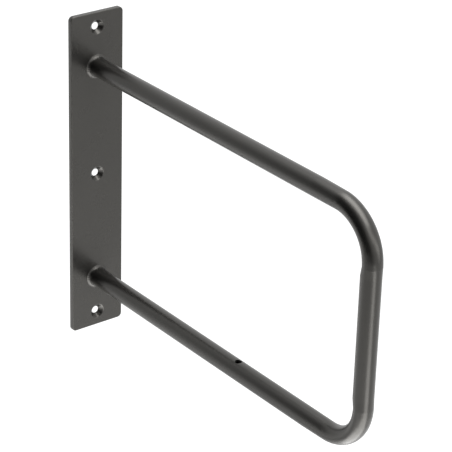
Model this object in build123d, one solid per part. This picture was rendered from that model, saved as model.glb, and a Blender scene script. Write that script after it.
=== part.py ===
"""Welded steel shelf bracket: a flat wall plate with one bent tube loop welded to its front.

The plate is screwed to a wall. The loop reaches out from it, and a shelf board lies on an arm of it.
Frame: the origin is the middle of the plate's back face, +Y points into the wall, +Z is up, and the
loop reaches out along -Y. Millimetres and degrees.
"""

import os
from math import cos, radians, sin, tan

from build123d import *

# Wall plate, cut from flat bar
plate_width = 40.0
plate_height = 225.0
plate_thickness = 3.0
plate_corner_radius = 3.0
plate_front_edge_round = 0.5

# Three countersunk screw holes on the plate's centre line
wall_screw_hole = 5.0
wall_screw_head = 10.0
wall_screw_head_angle = 90.0
wall_screw_end_distance = 10.0
countersink_lip_chamfer = 0.2

# The loop: two arms, two bends and the upright between them, bent from one length of tube
tube_diameter = 12.7
tube_wall = 1.5
loop_height = 164.0  # from the upper arm's top to the lower arm's underside
loop_reach = 277.0  # from the plate's front face to the outside of the upright
bend_radius = 30.0  # on the tube's centre line

# Bending flattens the hollow tube. Its inside is pressed in where a bend leaves the upright, and its
# outside is drawn in where the bend meets the arm.
inside_flattening = 1.2
outside_flattening = 0.5
upright_run = 6.0  # length of the upright over which its round section comes back
arm_run = 18.0  # the same on the arm

# Screw hole through the lower arm, for a shelf that is screwed down from below
shelf_screw_hole = 4.5
shelf_screw_distance = 155.0  # from the plate's front face

# Weld bead round the end of each arm
weld_leg_on_plate = 1.9
weld_leg_on_tube = 1.9
weld_hollow = 0.3  # how far the bead's face sinks below the straight line between its toes

# Around a bend, from the upright at 0 degrees to the arm at 90: how much of the flattening is reached
# at each angle, first on the inside and then on the outside of the bend.
bend_stations = {
    0: (1.0, 0.0),
    15: (1.0, 0.15),
    30: (1.0, 0.3),
    45: (0.8, 0.55),
    60: (0.6, 0.8),
    75: (0.35, 0.9),
    90: (0.1, 1.0),
}

match_tolerance = 0.01  # how closely an edge has to fit a description to be picked by it

# What follows from the sizes above
plate_front = -plate_thickness
tube_radius = tube_diameter / 2
arm_height = loop_height / 2 - tube_radius
upright_y = plate_front - loop_reach + tube_radius
bend_centre_y = upright_y + bend_radius
bend_centre_height = arm_height - bend_radius
wall_screw_height = plate_height / 2 - wall_screw_end_distance
shelf_screw_y = plate_front - shelf_screw_distance


def countersunk_hole(height):
    """A cutter for one wall screw hole: a straight bore at the back and a cone open to the front."""
    hole_radius = wall_screw_hole / 2
    head_radius = wall_screw_head / 2
    cone_depth = (head_radius - hole_radius) / tan(radians(wall_screw_head_angle / 2))
    half_section = Polyline(
        (0, 0),
        (hole_radius, 0),
        (hole_radius, plate_front + cone_depth),
        (head_radius, plate_front),
        (0, plate_front),
        close=True,
    )
    return Pos(0, 0, height) * revolve(make_face(half_section), Axis.Y)


def is_countersink_lip(edge):
    """True for the circle where a countersink meets the plate's front face."""
    on_front = abs(edge.center().Y - plate_front) < match_tolerance
    return on_front and abs(edge.radius - wall_screw_head / 2) < match_tolerance


def wall_plate():
    """Flat bar with rounded corners, an eased front edge and three countersunk holes."""
    outline = Plane.XZ * RectangleRounded(plate_width, plate_height, plate_corner_radius)
    plate = extrude(outline, plate_thickness)
    plate = fillet(plate.faces().sort_by(Axis.Y)[0].edges(), plate_front_edge_round)
    for height in (-wall_screw_height, 0, wall_screw_height):
        plate -= countersunk_hole(height)
    lips = plate.edges().filter_by(GeomType.CIRCLE).filter_by(is_countersink_lip)
    return chamfer(lips, countersink_lip_chamfer)


def bend_point(angle):
    """The point of the upper bend's centre line at an angle round it."""
    turn = radians(angle)
    return Vector(
        0,
        bend_centre_y - bend_radius * cos(turn),
        bend_centre_height + bend_radius * sin(turn),
    )


def section(radius, angle, inside=0.0, outside=0.0, run=0.0):
    """The tube's section, square to the upper bend's centre line at an angle round it.

    The inside and the outside are each pressed in by a share of their flattening. The section can
    stand a run further along the straight tube that the bend leads into.
    """
    turn = radians(angle)
    ahead = Vector(0, sin(turn), cos(turn))
    outwards = Vector(0, -cos(turn), sin(turn))
    pressed_in = inside * inside_flattening
    drawn_in = outside * outside_flattening
    centre = bend_point(angle) + ahead * run + outwards * (pressed_in - drawn_in) / 2
    oval = Ellipse(radius - (pressed_in + drawn_in) / 2, radius)
    return Plane(origin=centre, x_dir=outwards, z_dir=ahead) * oval


def upper_bend(radius):
    """One flattened bend, with the straight runs at its ends that bring back the round section."""
    ovals = [section(radius, angle, *shares) for angle, shares in bend_stations.items()]
    bend = loft(ovals)
    out_of_upright = loft([section(radius, 0, run=-upright_run), ovals[0]])
    into_arm = loft([ovals[-1], section(radius, 90, run=arm_run)])
    return out_of_upright + bend + into_arm


def upper_half(radius):
    """A solid rod along the loop's upper half: half the upright, the bend and the arm."""
    half_upright = extrude(Pos(0, upright_y) * Circle(radius), bend_centre_height - upright_run)
    arm_length = plate_front - bend_centre_y - arm_run
    arm = Pos(0, plate_front, arm_height) * extrude(Plane.XZ * Circle(radius), arm_length)
    return half_upright + upper_bend(radius) + arm


def support_loop():
    """The bent tube, open at both ends, with the shelf screw hole drilled through its lower arm."""
    half = upper_half(tube_radius) - upper_half(tube_radius - tube_wall)
    drill = Pos(0, shelf_screw_y, -arm_height) * Cylinder(shelf_screw_hole / 2, 2 * tube_diameter)
    return half + mirror(half, Plane.XY) - drill


def weld_bead(height):
    """Hollow-faced ring of weld in the corner between an arm and the plate's front face."""
    root = Vector(tube_radius, plate_front)
    plate_toe = root + Vector(weld_leg_on_plate, 0)
    tube_toe = root - Vector(0, weld_leg_on_tube)
    sink = Vector(-weld_leg_on_tube, weld_leg_on_plate).normalized() * weld_hollow
    throat = (plate_toe + tube_toe) / 2 + sink
    outline = Polyline(root, plate_toe, throat, tube_toe, close=True)
    return Pos(0, 0, height) * revolve(make_face(outline), Axis.Y)


nodes = {
    "wall_plate": wall_plate(),
    "support_loop": support_loop(),
    "upper_weld": weld_bead(arm_height),
    "lower_weld": weld_bead(-arm_height),
}

os.makedirs("parts", exist_ok=True)
for name, solid in nodes.items():
    export_step(solid, f"parts/{name}.step")
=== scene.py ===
"""The shelf bracket in its dark satin powder coat, on a plain pale stage with soft light.

Sizes and places are in metres.
"""
import math
import bpy
from mathutils import Matrix, Vector

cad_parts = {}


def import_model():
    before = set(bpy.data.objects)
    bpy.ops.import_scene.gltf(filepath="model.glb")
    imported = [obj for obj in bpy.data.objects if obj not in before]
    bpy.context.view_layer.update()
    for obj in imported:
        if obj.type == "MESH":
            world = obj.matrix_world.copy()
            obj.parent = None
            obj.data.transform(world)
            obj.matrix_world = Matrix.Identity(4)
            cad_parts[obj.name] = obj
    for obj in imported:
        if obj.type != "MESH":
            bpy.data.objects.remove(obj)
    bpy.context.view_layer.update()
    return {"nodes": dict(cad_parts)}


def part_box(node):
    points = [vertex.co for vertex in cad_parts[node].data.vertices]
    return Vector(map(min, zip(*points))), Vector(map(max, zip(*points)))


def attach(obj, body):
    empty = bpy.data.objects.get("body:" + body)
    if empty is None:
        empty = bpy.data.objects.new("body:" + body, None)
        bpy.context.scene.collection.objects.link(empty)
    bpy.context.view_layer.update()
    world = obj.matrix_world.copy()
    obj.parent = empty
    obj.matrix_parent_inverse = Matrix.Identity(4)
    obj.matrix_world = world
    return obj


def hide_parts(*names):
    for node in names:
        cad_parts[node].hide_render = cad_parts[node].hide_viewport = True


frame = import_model()
scene = bpy.context.scene

# The loop is as wide as its tube. The net stands round its middle, and some lights are aimed by it.
LOOP_LOWEST, LOOP_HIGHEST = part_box("support_loop")
TUBE_RADIUS = LOOP_HIGHEST.x
LOOP_MIDDLE = (LOOP_LOWEST + LOOP_HIGHEST) / 2

# The ring of weld: its ripples, and how finely it is drawn
WELD_RIPPLES = 34
WELD_RIPPLE_HEIGHT = 0.0001
WELD_SECTIONS = 288
WELD_FACE_STEPS = 18

# The powder coat: how many features lie in a metre, how deep the peel is, and how the coat shines
PEEL_PER_METRE = 420.0
WELD_PEEL_PER_METRE = 700.0
GRAIN_PER_METRE = 2600.0
SPECKS_PER_METRE = 3400.0
SHEEN_PATCHES_PER_METRE = 55.0
TONE_PATCHES_PER_METRE = 22.0
PEEL_DEPTH = 0.00002
PALE_SPECK = (0.06, 0.058, 0.054, 1)
COAT_IOR = 1.65
COAT_WARMTH = (1.0, 0.97, 0.91, 1)

# The stage. The glow is the floor's own light, where 1 is white.
FLOOR_HALF_WIDTH = 12.0
FLOOR_HEIGHT = -1.0
FLOOR_GREY = (0.5, 0.5, 0.5, 1)
FLOOR_GLOW = 0.72
NET_RADIUS = 0.75
BLACK_CLOTH = (0.01, 0.01, 0.01, 1)


class Board:
    """A node tree with short calls to add nodes and join them."""

    def __init__(self, tree):
        self.tree = tree

    def add(self, kind, **settings):
        node = self.tree.nodes.new(kind)
        for key, value in settings.items():
            setattr(node, key, value)
        return node

    def put(self, value, target):
        """A link when value is a socket, else a plain value on the target socket."""
        if isinstance(value, bpy.types.NodeSocket):
            self.tree.links.new(value, target)
        else:
            target.default_value = value

    def maths(self, operation, a, b):
        node = self.add("ShaderNodeMath", operation=operation)
        self.put(a, node.inputs[0])
        self.put(b, node.inputs[1])
        return node.outputs[0]

    def remap(self, value, from_low, from_high, to_low=0.0, to_high=1.0):
        node = self.add("ShaderNodeMapRange")
        self.put(value, node.inputs["Value"])
        self.put(from_low, node.inputs["From Min"])
        self.put(from_high, node.inputs["From Max"])
        self.put(to_low, node.inputs["To Min"])
        self.put(to_high, node.inputs["To Max"])
        return node.outputs["Result"]

    def mix(self, share, a, b):
        """Colour a where the share is 0, and colour b where it is 1."""
        node = self.add("ShaderNodeMix", data_type="RGBA")
        colour_a, colour_b = [socket for socket in node.inputs if socket.type == "RGBA"]
        self.put(share, node.inputs["Factor"])
        self.put(a, colour_a)
        self.put(b, colour_b)
        return [socket for socket in node.outputs if socket.type == "RGBA"][0]

    def noise(self, where, scale, detail, roughness):
        node = self.add("ShaderNodeTexNoise")
        self.put(where, node.inputs["Vector"])
        self.put(scale, node.inputs["Scale"])
        node.inputs["Detail"].default_value = detail
        node.inputs["Roughness"].default_value = roughness
        return node.outputs["Fac"]

    def object_position(self):
        return self.add("ShaderNodeTexCoord").outputs["Object"]

    def show(self, shader, output="ShaderNodeOutputMaterial"):
        """Sends a shader to the surface of the material or the world."""
        self.put(shader, self.add(output).inputs["Surface"])


def new_group(name, inputs, outputs):
    """A shader node group. Its inputs are rows of name, socket type and default, which is None where
    each material sets its own value, and its outputs are rows of name and socket type.
    """
    tree = bpy.data.node_groups.new(name, "ShaderNodeTree")
    for label, kind, default in inputs:
        socket = tree.interface.new_socket(label, in_out="INPUT", socket_type=kind)
        if default is not None:
            socket.default_value = default
    for label, kind in outputs:
        tree.interface.new_socket(label, in_out="OUTPUT", socket_type=kind)
    board = Board(tree)
    start = board.add("NodeGroupInput")
    end = board.add("NodeGroupOutput")
    return board, start.outputs, end.inputs


def powder_skin_group():
    """The skin of a baked powder coat: soft orange peel, fine grain, and its uneven sheen."""
    board, given, result = new_group(
        "powder_skin",
        [
            ("Position", "NodeSocketVector", None),
            ("Peel Per Metre", "NodeSocketFloat", None),
            ("Grain Per Metre", "NodeSocketFloat", GRAIN_PER_METRE),
            ("Grain Share", "NodeSocketFloat", 0.35),
            ("Roughness", "NodeSocketFloat", None),
            ("Roughness Spread", "NodeSocketFloat", None),
        ],
        [("Height", "NodeSocketFloat"), ("Roughness", "NodeSocketFloat")],
    )
    peel = board.noise(given["Position"], given["Peel Per Metre"], 2.0, 0.45)
    grain = board.noise(given["Position"], given["Grain Per Metre"], 3.0, 0.6)
    fine = board.maths("MULTIPLY", grain, given["Grain Share"])
    board.put(board.maths("ADD", peel, fine), result["Height"])
    sheen = board.noise(given["Position"], SHEEN_PATCHES_PER_METRE, 3.0, 0.6)
    swing = board.maths("MULTIPLY", board.maths("SUBTRACT", sheen, 0.5), 2.0)
    swing = board.maths("MULTIPLY", swing, given["Roughness Spread"])
    speck = board.maths("MULTIPLY", board.maths("SUBTRACT", grain, 0.5), given["Roughness Spread"])
    total = board.maths("ADD", board.maths("ADD", given["Roughness"], swing), speck)
    board.put(total, result["Roughness"])
    return board.tree


def coat_tone_group():
    """The coat's colour: a warm near-black with slow drifts of tone and fine pale specks."""
    board, given, result = new_group(
        "coat_tone",
        [
            ("Position", "NodeSocketVector", None),
            ("Thin Coat", "NodeSocketColor", None),
            ("Thick Coat", "NodeSocketColor", None),
            ("Drift Per Metre", "NodeSocketFloat", TONE_PATCHES_PER_METRE),
            ("Specks", "NodeSocketFloat", 0.25),
        ],
        [("Color", "NodeSocketColor")],
    )
    drift = board.noise(given["Position"], given["Drift Per Metre"], 4.0, 0.55)
    drift = board.remap(drift, 0.3, 0.7)
    base = board.mix(drift, given["Thick Coat"], given["Thin Coat"])
    specks = board.noise(given["Position"], SPECKS_PER_METRE, 1.0, 0.5)
    specks = board.remap(specks, 0.6, 0.78)
    specks = board.maths("MULTIPLY", specks, given["Specks"])
    board.put(board.mix(specks, base, PALE_SPECK), result["Color"])
    return board.tree


POWDER_SKIN = powder_skin_group()
COAT_TONE = coat_tone_group()


def new_material(name):
    """A material without nodes, and the board to put them on."""
    material = bpy.data.materials.new(name)
    material.use_nodes = True
    material.node_tree.nodes.clear()
    return material, Board(material.node_tree)


def coated_steel(name, thin, thick, roughness, spread, peel=PEEL_PER_METRE):
    """Powder-coated steel, with the tone and skin of one of the bracket's pieces."""
    material, board = new_material(name)
    position = board.object_position()

    tone = board.add("ShaderNodeGroup", node_tree=COAT_TONE)
    board.put(position, tone.inputs["Position"])
    tone.inputs["Thin Coat"].default_value = (*thin, 1)
    tone.inputs["Thick Coat"].default_value = (*thick, 1)

    skin = board.add("ShaderNodeGroup", node_tree=POWDER_SKIN)
    board.put(position, skin.inputs["Position"])
    skin.inputs["Peel Per Metre"].default_value = peel
    skin.inputs["Roughness"].default_value = roughness
    skin.inputs["Roughness Spread"].default_value = spread

    bump = board.add("ShaderNodeBump")
    bump.inputs["Strength"].default_value = 1.0
    bump.inputs["Distance"].default_value = PEEL_DEPTH
    board.put(skin.outputs["Height"], bump.inputs["Height"])

    shader = board.add("ShaderNodeBsdfPrincipled")
    board.put(tone.outputs["Color"], shader.inputs["Base Color"])
    board.put(skin.outputs["Roughness"], shader.inputs["Roughness"])
    board.put(bump.outputs["Normal"], shader.inputs["Normal"])
    shader.inputs["IOR"].default_value = COAT_IOR
    shader.inputs["Specular Tint"].default_value = COAT_WARMTH
    board.show(shader.outputs["BSDF"])
    return material


plate_coat = coated_steel(
    "plate_coat",
    thin=(0.0115, 0.0112, 0.0104),
    thick=(0.0085, 0.0083, 0.0077),
    roughness=0.28,
    spread=0.03,
)
tube_coat = coated_steel(
    "tube_coat",
    thin=(0.0095, 0.0093, 0.0086),
    thick=(0.007, 0.0068, 0.0063),
    roughness=0.29,
    spread=0.03,
)
weld_coat = coated_steel(
    "weld_coat",
    thin=(0.009, 0.0088, 0.0082),
    thick=(0.0065, 0.0063, 0.0058),
    roughness=0.29,
    spread=0.05,
    peel=WELD_PEEL_PER_METRE,
)


def coat(piece, material):
    """Gives a piece this one material."""
    piece.data.materials.clear()
    piece.data.materials.append(material)


coat(frame["nodes"]["wall_plate"], plate_coat)
coat(frame["nodes"]["support_loop"], tube_coat)


def new_object(name, vertices, faces):
    """A mesh object, linked to the scene."""
    mesh = bpy.data.meshes.new(name)
    mesh.from_pydata(vertices, [], faces)
    mesh.update()
    piece = bpy.data.objects.new(name, mesh)
    scene.collection.objects.link(piece)
    return piece


def weld_section(turn, leg_on_plate, leg_on_tube, seed):
    """The weld's section at a turn round the arm, as steps outwards and forwards from its root.

    It runs from the toe on the plate, over the hollow face, to the toe on the tube, and ends at the
    root, where the tube meets the plate. A ripple stands a little higher at the middle of the face.
    """
    unevenness = 0.12 * math.sin(3 * turn + seed)
    ripple = WELD_RIPPLES * turn / (2 * math.pi) + unevenness
    swell = 0.04 * math.sin(2 * turn + seed) + 0.03 * math.sin(5 * turn + 2 * seed)
    size = min(1.0 + swell, 1.0)
    section = []
    for step in range(WELD_FACE_STEPS + 1):
        share = step / WELD_FACE_STEPS
        lag_at_toes = 0.35 * (2 * share - 1) ** 2
        scallop = (ripple + lag_at_toes) % 1.0
        crest = math.sin(math.pi * scallop) ** 0.6 * math.sin(math.pi * share)
        rise = WELD_RIPPLE_HEIGHT * crest * math.sqrt(0.5)
        bend = math.pi / 2 * share
        out = leg_on_plate * size * (1 - math.sin(bend)) + rise
        forward = leg_on_tube * size * (1 - math.cos(bend)) + rise
        section.append((min(out, leg_on_plate), min(forward, leg_on_tube)))
    section.append((0, 0))
    return section


def weld_bead(node, seed):
    """A ring of weld with the ripples that the torch leaves, no larger than the plain ring it replaces."""
    lowest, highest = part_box(node)
    arm_height = (lowest.z + highest.z) / 2
    plate_front = highest.y
    leg_on_plate = highest.x - TUBE_RADIUS
    leg_on_tube = plate_front - lowest.y

    vertices = []
    for i in range(WELD_SECTIONS):
        turn = 2 * math.pi * i / WELD_SECTIONS
        for out, forward in weld_section(turn, leg_on_plate, leg_on_tube, seed):
            radius = TUBE_RADIUS + out
            along, up = radius * math.cos(turn), radius * math.sin(turn)
            vertices.append((along, plate_front - forward, arm_height + up))

    points = WELD_FACE_STEPS + 2
    faces = []
    for i in range(WELD_SECTIONS):
        here, ahead = i * points, (i + 1) % WELD_SECTIONS * points
        for j in range(points):
            k = (j + 1) % points
            faces.append((here + j, ahead + j, ahead + k, here + k))

    bead = new_object(f"{node}_bead", vertices, faces)
    for polygon in bead.data.polygons:
        polygon.use_smooth = polygon.index % points < WELD_FACE_STEPS
    coat(bead, weld_coat)
    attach(bead, "root")
    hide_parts(node)


weld_bead("upper_weld", seed=0.6)
weld_bead("lower_weld", seed=2.1)


def light_rays(board, in_reflections):
    """1 for camera rays, in_reflections for glossy and transmission rays, and 0 for the rest."""
    ray = board.add("ShaderNodeLightPath")
    other = board.maths("MAXIMUM", ray.outputs["Is Glossy Ray"], ray.outputs["Is Transmission Ray"])
    other = board.maths("MULTIPLY", other, in_reflections)
    return board.maths("MAXIMUM", ray.outputs["Is Camera Ray"], other)


def floor_in_reflections(board):
    """The floor's brightness in reflections: painted light, brightest in a wide round under the bracket,
    with painted shade dimming an area behind it.
    """
    place = board.object_position()
    away = board.add("ShaderNodeVectorMath", operation="LENGTH")
    board.put(place, away.inputs[0])
    # Painted light: the floor glows brighter within a wide round under the bracket, and dimmer farther out.
    painted_light_pool = board.remap(away.outputs["Value"], from_low=1.8, from_high=2.5, to_low=1.18, to_high=0.64)

    # Painted shade: the floor's glow is dimmed down to 0.3 over an area behind the bracket.
    apart = board.add("ShaderNodeSeparateXYZ")
    board.put(place, apart.inputs[0])
    behind = apart.outputs["Y"]
    sideways = board.maths("ABSOLUTE", apart.outputs["X"], 0.0)
    near_edge = board.remap(behind, 0.1, 0.4)
    far_edge = board.remap(behind, 0.7, 1.1, 1.0, 0.0)
    painted_shade_patch = board.maths("MULTIPLY", near_edge, far_edge)
    painted_shade_patch = board.maths("MULTIPLY", painted_shade_patch, board.remap(sideways, 0.9, 1.3, 1.0, 0.0))
    return board.maths("MULTIPLY", painted_light_pool, board.remap(painted_shade_patch, 0.0, 1.0, 1.0, 0.3))


def floor():
    """A pale floor that is white to the camera."""
    half, z = FLOOR_HALF_WIDTH, FLOOR_HEIGHT
    corners = [(-half, -half, z), (half, -half, z), (half, half, z), (-half, half, z)]
    ground = new_object("floor", corners, [(0, 1, 2, 3)])
    material, board = new_material("pale_floor")
    matt = board.add("ShaderNodeBsdfDiffuse")
    matt.inputs["Color"].default_value = FLOOR_GREY
    glow = board.add("ShaderNodeEmission")
    shown = light_rays(board, floor_in_reflections(board))
    board.put(board.maths("MULTIPLY", shown, FLOOR_GLOW), glow.inputs["Strength"])
    both = board.add("ShaderNodeAddShader")
    board.put(matt.outputs[0], both.inputs[0])
    board.put(glow.outputs[0], both.inputs[1])
    board.show(both.outputs[0])
    coat(ground, material)


def world():
    """White to the camera and in reflections, and a little dimmer as a source of light."""
    studio = bpy.data.worlds.new("studio")
    scene.world = studio
    studio.use_nodes = True
    studio.node_tree.nodes.clear()
    board = Board(studio.node_tree)
    background = board.add("ShaderNodeBackground")
    background.inputs["Color"].default_value = (1, 1, 1, 1)
    strength = board.remap(light_rays(board, 1.0), 0.0, 1.0, 0.8, 1.0)
    board.put(strength, background.inputs["Strength"])
    board.show(background.outputs[0], "ShaderNodeOutputWorld")


def net_cover(board):
    """How much of the net is black cloth, from 0 to 1, seen from the middle of the loop.

    A height is the sine of the angle above the loop's middle. A bearing is 0 in front of the bracket,
    and negative on its left. The cloth is a band between the table and the ceiling, and reaches from
    the back round the left to the front. Its two ends lean, each by its own amount. Elsewhere there is
    thin net, which fades out to the right.
    """
    direction = board.add("ShaderNodeVectorMath", operation="NORMALIZE")
    board.put(board.object_position(), direction.inputs[0])
    apart = board.add("ShaderNodeSeparateXYZ")
    board.put(direction.outputs[0], apart.inputs[0])
    right, height = apart.outputs["X"], apart.outputs["Z"]
    ahead = board.maths("MULTIPLY", apart.outputs["Y"], -1.0)
    bearing = board.maths("ARCTAN2", right, ahead)

    above_table = board.remap(height, -0.26, -0.06)
    below_ceiling = board.remap(height, 0.82, 0.98, 1.0, 0.0)
    over_middle = board.maths("SUBTRACT", height, 0.36)
    back_end = board.maths("ADD", bearing, board.maths("MULTIPLY", over_middle, 0.4))
    front_end = board.maths("ADD", bearing, board.maths("MULTIPLY", over_middle, 0.75))
    from_back = board.remap(back_end, math.radians(-143), math.radians(-124))
    to_front = board.remap(front_end, math.radians(-44), math.radians(-10), 1.0, 0.0)
    in_band = board.maths("MULTIPLY", above_table, below_ceiling)
    cloth = board.maths("MULTIPLY", in_band, board.maths("MULTIPLY", from_back, to_front))
    thin_net = board.remap(right, -0.1, 0.5, 0.15, 0.0)
    return board.maths("MAXIMUM", cloth, thin_net)


def dark_net():
    """A dome of net round the bracket, with black cloth on its left, that the camera doesn't see.

    It keeps the white room out of the left side of the tube, as a photographer's black flag does.
    """
    around, rows, lowest_tilt = 48, 15, math.radians(115)
    vertices = [(0, 0, NET_RADIUS)]
    faces = []
    for i in range(1, rows + 1):
        tilt = lowest_tilt * i / rows
        for j in range(around):
            turn = 2 * math.pi * j / around
            across = NET_RADIUS * math.sin(tilt)
            vertices.append((across * math.cos(turn), across * math.sin(turn), NET_RADIUS * math.cos(tilt)))
    for j in range(around):
        n = (j + 1) % around
        faces.append((0, 1 + j, 1 + n))
        for i in range(rows - 1):
            row, under = 1 + i * around, 1 + (i + 1) * around
            faces.append((row + j, under + j, under + n, row + n))
    net = new_object("dark_net", vertices, faces)
    net.location = LOOP_MIDDLE
    net.visible_camera = False

    material, board = new_material("dark_net")
    clear = board.add("ShaderNodeBsdfTransparent")
    cloth = board.add("ShaderNodeBsdfDiffuse")
    cloth.inputs["Color"].default_value = BLACK_CLOTH
    blend = board.add("ShaderNodeMixShader")
    board.put(net_cover(board), blend.inputs[0])
    board.put(clear.outputs[0], blend.inputs[1])
    board.put(cloth.outputs[0], blend.inputs[2])
    board.show(blend.outputs[0])
    coat(net, material)


def turned(right, up, back):
    """The matrix that turns a lamp or the camera to these three directions."""
    return Matrix((right, up, back)).transposed().to_4x4()


def soft_box(name, place, aim, along, length, width, level):
    """A soft box that looks at a point, with its length along a direction.

    The level sets its brightness. At about 0.7 it looks white.
    """
    data = bpy.data.lights.new(name, "AREA")
    data.shape = "RECTANGLE"
    data.size = length
    data.size_y = width
    data.energy = level * 4 * length * width
    back = (Vector(place) - Vector(aim)).normalized()
    long_side = (Vector(along) - back * back.dot(Vector(along))).normalized()
    short_side = back.cross(long_side)
    lamp = bpy.data.objects.new(name, data)
    lamp.matrix_world = Matrix.Translation(place) @ turned(long_side, short_side, back)
    lamp.visible_camera = False
    scene.collection.objects.link(lamp)


def box_over(name, x, y, z, length, width, level):
    """A soft box that lies flat over or under the bracket, with its length along the arms."""
    soft_box(name, (x, y, z), aim=(x, y, 0), along=(0, 1, 0), length=length, width=width, level=level)


def front_strip(name, place, width, level):
    """A leaning strip light in front, on the right, that draws the pale line down the upright."""
    aim = LOOP_MIDDLE + Vector((0, 0, 0.07))
    soft_box(name, place, aim, along=(0.62, 0.25, -0.74), length=1.6, width=width, level=level)


def camera():
    """The camera that a fit to the photo's outlines gave."""
    place = (-0.70785, -1.03967, 0.57451)
    heading, dip, roll = math.radians(38.2396), math.radians(25.9723), math.radians(1.7027)
    forward = Vector((
        math.sin(heading) * math.cos(dip),
        math.cos(heading) * math.cos(dip),
        -math.sin(dip),
    ))
    level_right = Vector((math.cos(heading), -math.sin(heading), 0))
    level_up = level_right.cross(forward)
    right = level_right * math.cos(roll) + level_up * math.sin(roll)
    up = level_up * math.cos(roll) - level_right * math.sin(roll)
    data = bpy.data.cameras.new("camera")
    data.sensor_width = 36.0
    data.lens = 166.876
    eye = bpy.data.objects.new("camera", data)
    eye.matrix_world = Matrix.Translation(place) @ turned(right, up, -forward)
    scene.collection.objects.link(eye)
    scene.camera = eye


floor()
world()
dark_net()
box_over("top_box", 0.27, -0.30, 1.1, length=1.75, width=1.05, level=1.4)
box_over("top_middle_box", 0.19, -0.40, 1.09, length=1.30, width=0.60, level=2.45)
box_over("table_card", -0.12, -1.02, -0.69, length=1.95, width=0.64, level=2.5)
box_over("left_card", -0.77, -0.60, -0.69, length=1.0, width=0.66, level=0.12)
soft_box(
    "back_card",
    place=(-0.68, 0.54, -0.28),
    aim=LOOP_MIDDLE,
    along=(1, 1, 0),
    length=0.75,
    width=0.34,
    level=0.24,
)
front_strip("front_strip", (0.36, -1.20, 0.46), width=0.60, level=0.5)
front_strip("front_strip_middle", (0.35, -1.19, 0.46), width=0.34, level=1.05)
camera()
scene.view_settings.view_transform = "Standard"
